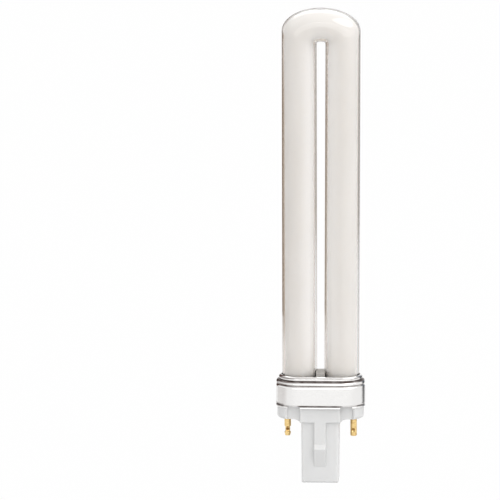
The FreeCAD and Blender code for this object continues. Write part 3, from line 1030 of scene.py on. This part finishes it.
@dataclass(frozen=True)
class GlassSurround:
    """The studio's dim walls and ground, which only show in the clear edges of the glass."""

    radius: float = 0.2
    low: float = FLOOR_HEIGHT
    high: float = 0.24
    facets: int = 64
    left: Colour = (0.38, 0.29, 0.21)
    right: Colour = (0.55, 0.51, 0.47)
    above: Colour = (0.75, 0.72, 0.69)
    above_from: float = 0.07
    above_to: float = 0.13
    foot_left: Colour = (0.8, 0.745, 0.7)
    foot_right: Colour = (0.92, 0.905, 0.89)
    foot_side: float = 0.06
    foot_left_from: float = 0.004
    foot_left_to: float = -0.014
    foot_right_from: float = 0.04
    foot_right_to: float = 0.01
    ground: Colour = (0.66, 0.58, 0.48)
    ground_half_width: float = 0.05
    ground_near: float = 0.07
    ground_far: float = 0.19
    ground_lift: float = 0.0003

    def build(self) -> None:
        """Stand the walls all round the lamp and lay the ground behind it."""
        turns = [2 * math.pi * step / self.facets for step in range(self.facets)]
        ring = [(self.radius * math.cos(turn), self.radius * math.sin(turn)) for turn in turns]
        corners = [(x, y, z) for z in (self.low, self.high) for x, y in ring]
        n = self.facets
        walls = [(i, (i + 1) % n, (i + 1) % n + n, i + n) for i in range(n)]
        surround = studio_sheet("glass_surround", corners, walls, self.wall_tone)
        surround.visible_glossy = False
        w, z = self.ground_half_width, self.low + self.ground_lift
        corners = [(x, y, z) for y in (self.ground_near, self.ground_far) for x in (-w, w)]
        ground = studio_sheet("glass_ground", corners, [(0, 1, 3, 2)], lambda s: self.ground)
        ground.visible_glossy = False

    def wall_tone(self, s: Surface) -> bpy.types.NodeSocket:
        """Return the walls' colour: browner on the left, paler higher up and towards the floor.

        Args:
            s: The material under construction.

        Returns:
            The colour's socket.
        """
        side = s.ramp(s.x, -self.foot_side, self.foot_side)
        walls = s.blend(s.ramp(s.x, -self.radius, self.radius), self.left, self.right)
        walls = s.blend(s.ramp(s.z, self.above_from, self.above_to), walls, self.above)
        foot = s.ramp(s.z, self.foot_left_from, self.foot_left_to)
        foot = s.math("MAXIMUM", s.ramp(s.z, self.foot_right_from, self.foot_right_to) * side, foot)
        return s.blend(foot, walls, s.blend(side, self.foot_left, self.foot_right))


def studio_sheet(
    name: str,
    corners: Sequence[tuple[float, float, float]],
    faces: Sequence[tuple[int, ...]],
    tone: Callable[[Surface], object],
    patch: float = 0.02,
    shade: float = 0.85,
) -> bpy.types.Object:
    """Make a sheet that the camera, the lamps and lit surfaces all look past.

    Args:
        name: The sheet's name.
        corners: Its corners.
        faces: Its faces.
        tone: What returns its colour within its material.
        patch: The size of its darker patches in metres.
        shade: How bright they are.

    Returns:
        The sheet.
    """
    mesh = bpy.data.meshes.new(name)
    mesh.from_pydata(corners, [], faces)
    s = Surface(name)
    strength = s.ramp(s.noise(patch, 2.0), *NOISE_RANGE, shade, 1.0)
    glow = s.node("ShaderNodeEmission", {"Color": tone(s), "Strength": strength})
    clear = s.node("ShaderNodeBsdfTransparent")
    depth = s.node("ShaderNodeLightPath").outputs["Diffuse Depth"]
    s.mix_shaders(s.math("GREATER_THAN", Value(s, depth), 0.5), glow, clear)
    mesh.materials.append(s.material)
    sheet = bpy.data.objects.new(name, mesh)
    sheet.visible_camera = False
    sheet.visible_diffuse = False
    sheet.visible_shadow = False
    bpy.context.scene.collection.objects.link(sheet)
    return sheet


@dataclass
class Studio:
    """A plain pale floor in soft light."""

    floor_height: float = FLOOR_HEIGHT
    floor_reach: float = 8.0
    paper: Colour = (0.63, 0.63, 0.63)
    paper_shade: Colour = (0.61, 0.61, 0.61)
    paper_patch: float = 0.3
    world_light: float = 0.84
    seen_share: float = 0.985
    mirrored_share: float = 0.95
    light_bounces: int = 32
    lit_bounces: int = 8
    target: tuple[float, float, float] = (0.0, 0.0, 0.06)
    lamps: tuple[Softbox, ...] = (
        Softbox("key_right", 60.0, 50.0, 1.5, 1.8, 0.95, power=7.0, colour=(1.0, 0.995, 0.985)),
        Softbox("front_fill", 12.0, 6.0, 1.8, 3.6, 1.8, power=16.0),
        Softbox("rear_fill", 185.0, 57.0, 1.8, 2.2, 1.1, power=6.5),
    )
    cards: tuple[StudioCard, ...] = (
        StudioCard("card_left", -147.0, 0.32, width=0.2, high=0.3, colour=(0.1, 0.045, 0.035)),
        StudioCard("card_right", 141.0, 0.32, width=0.16, high=0.3, colour=(0.2, 0.22, 0.26)),
        StudioCard("card_near_left", -100.0, 0.13, width=0.16, high=0.02, colour=(0.8, 0.78, 0.77)),
        StudioCard("card_near_right", 132.0, 0.12, width=0.055, high=0.03, colour=(0.11, 0.11, 0.115)),
    )

    def build(self) -> None:
        """Make the floor, the world, the lamps and the cards."""
        self.floor()
        self.world()
        for lamp in self.lamps:
            lamp.build(Vector(self.target))
        for card in self.cards:
            card.build()
        GlassSurround().build()
        scene = bpy.context.scene
        scene.view_settings.view_transform = "Standard"
        scene.cycles.max_bounces = self.light_bounces
        scene.cycles.transmission_bounces = self.light_bounces
        scene.cycles.diffuse_bounces = self.lit_bounces
        scene.cycles.blur_glossy = 0.0

    @staticmethod
    def rays(g: Graph) -> tuple[Value, Value, Value]:
        """Return what tells the camera's own rays, and its rays off gloss and through glass.

        Args:
            g: The node tree under construction.

        Returns:
            The camera's, the mirrored and the refracted rays, each as 0 or 1.
        """
        path = g.tree.nodes.new("ShaderNodeLightPath")
        unlit = g.math("LESS_THAN", Value(g, path.outputs["Diffuse Depth"]), 0.5)
        kinds = ("Is Camera Ray", "Is Glossy Ray", "Is Transmission Ray")
        direct, mirrored, through = (Value(g, path.outputs[kind]) for kind in kinds)
        return direct, mirrored * unlit, through * unlit

    def floor(self) -> None:
        """Make the floor: white to the eye, plain to the light, with the lamp's own shadow."""
        r, z = self.floor_reach, self.floor_height
        mesh = bpy.data.meshes.new("floor")
        mesh.from_pydata([(-r, -r, z), (r, -r, z), (r, r, z), (-r, r, z)], [], [(0, 1, 2, 3)])
        floor = bpy.data.objects.new("floor", mesh)
        s = Surface("floor_paper")
        paper = s.blend(s.noise(self.paper_patch), self.paper, self.paper_shade)
        matt = s.node("ShaderNodeBsdfDiffuse", {"Color": paper})
        white = s.node("ShaderNodeEmission", {"Color": WHITE, "Strength": 1.0})
        direct, mirrored, through = self.rays(s)
        share = s.math("MAXIMUM", direct, through) * self.seen_share
        share = s.math("MAXIMUM", share, mirrored * self.mirrored_share)
        s.mix_shaders(share, matt, white)
        mesh.materials.append(s.material)
        bpy.context.scene.collection.objects.link(floor)

    def world(self) -> None:
        """Make the surroundings: white to the eye, and a plain soft light."""
        world = bpy.data.worlds.new("studio")
        world.use_nodes = True
        bpy.context.scene.world = world
        g = Graph(world.node_tree)
        world.node_tree.nodes.clear()
        direct, mirrored, through = self.rays(g)
        seen = g.math("MAXIMUM", g.math("MAXIMUM", direct, mirrored), through)
        strength = self.world_light + seen * (1.0 - self.world_light)
        back = g.node("ShaderNodeBackground", {"Color": WHITE, "Strength": strength})
        out = g.tree.nodes.new("ShaderNodeOutputWorld")
        g.tree.links.new(back.outputs[0], out.inputs["Surface"])


def main() -> None:
    """Build the lamp's looks piece by piece."""
    logging.basicConfig(level=logging.INFO, format="%(name)s: %(message)s")
    PhotoCamera().build()
    for part in (CoatedTube(), Collar(), PlugCap(), Studio()):
        part.build()
        log.info("built %s", type(part).__name__)


if __name__ == "__main__":
    main()
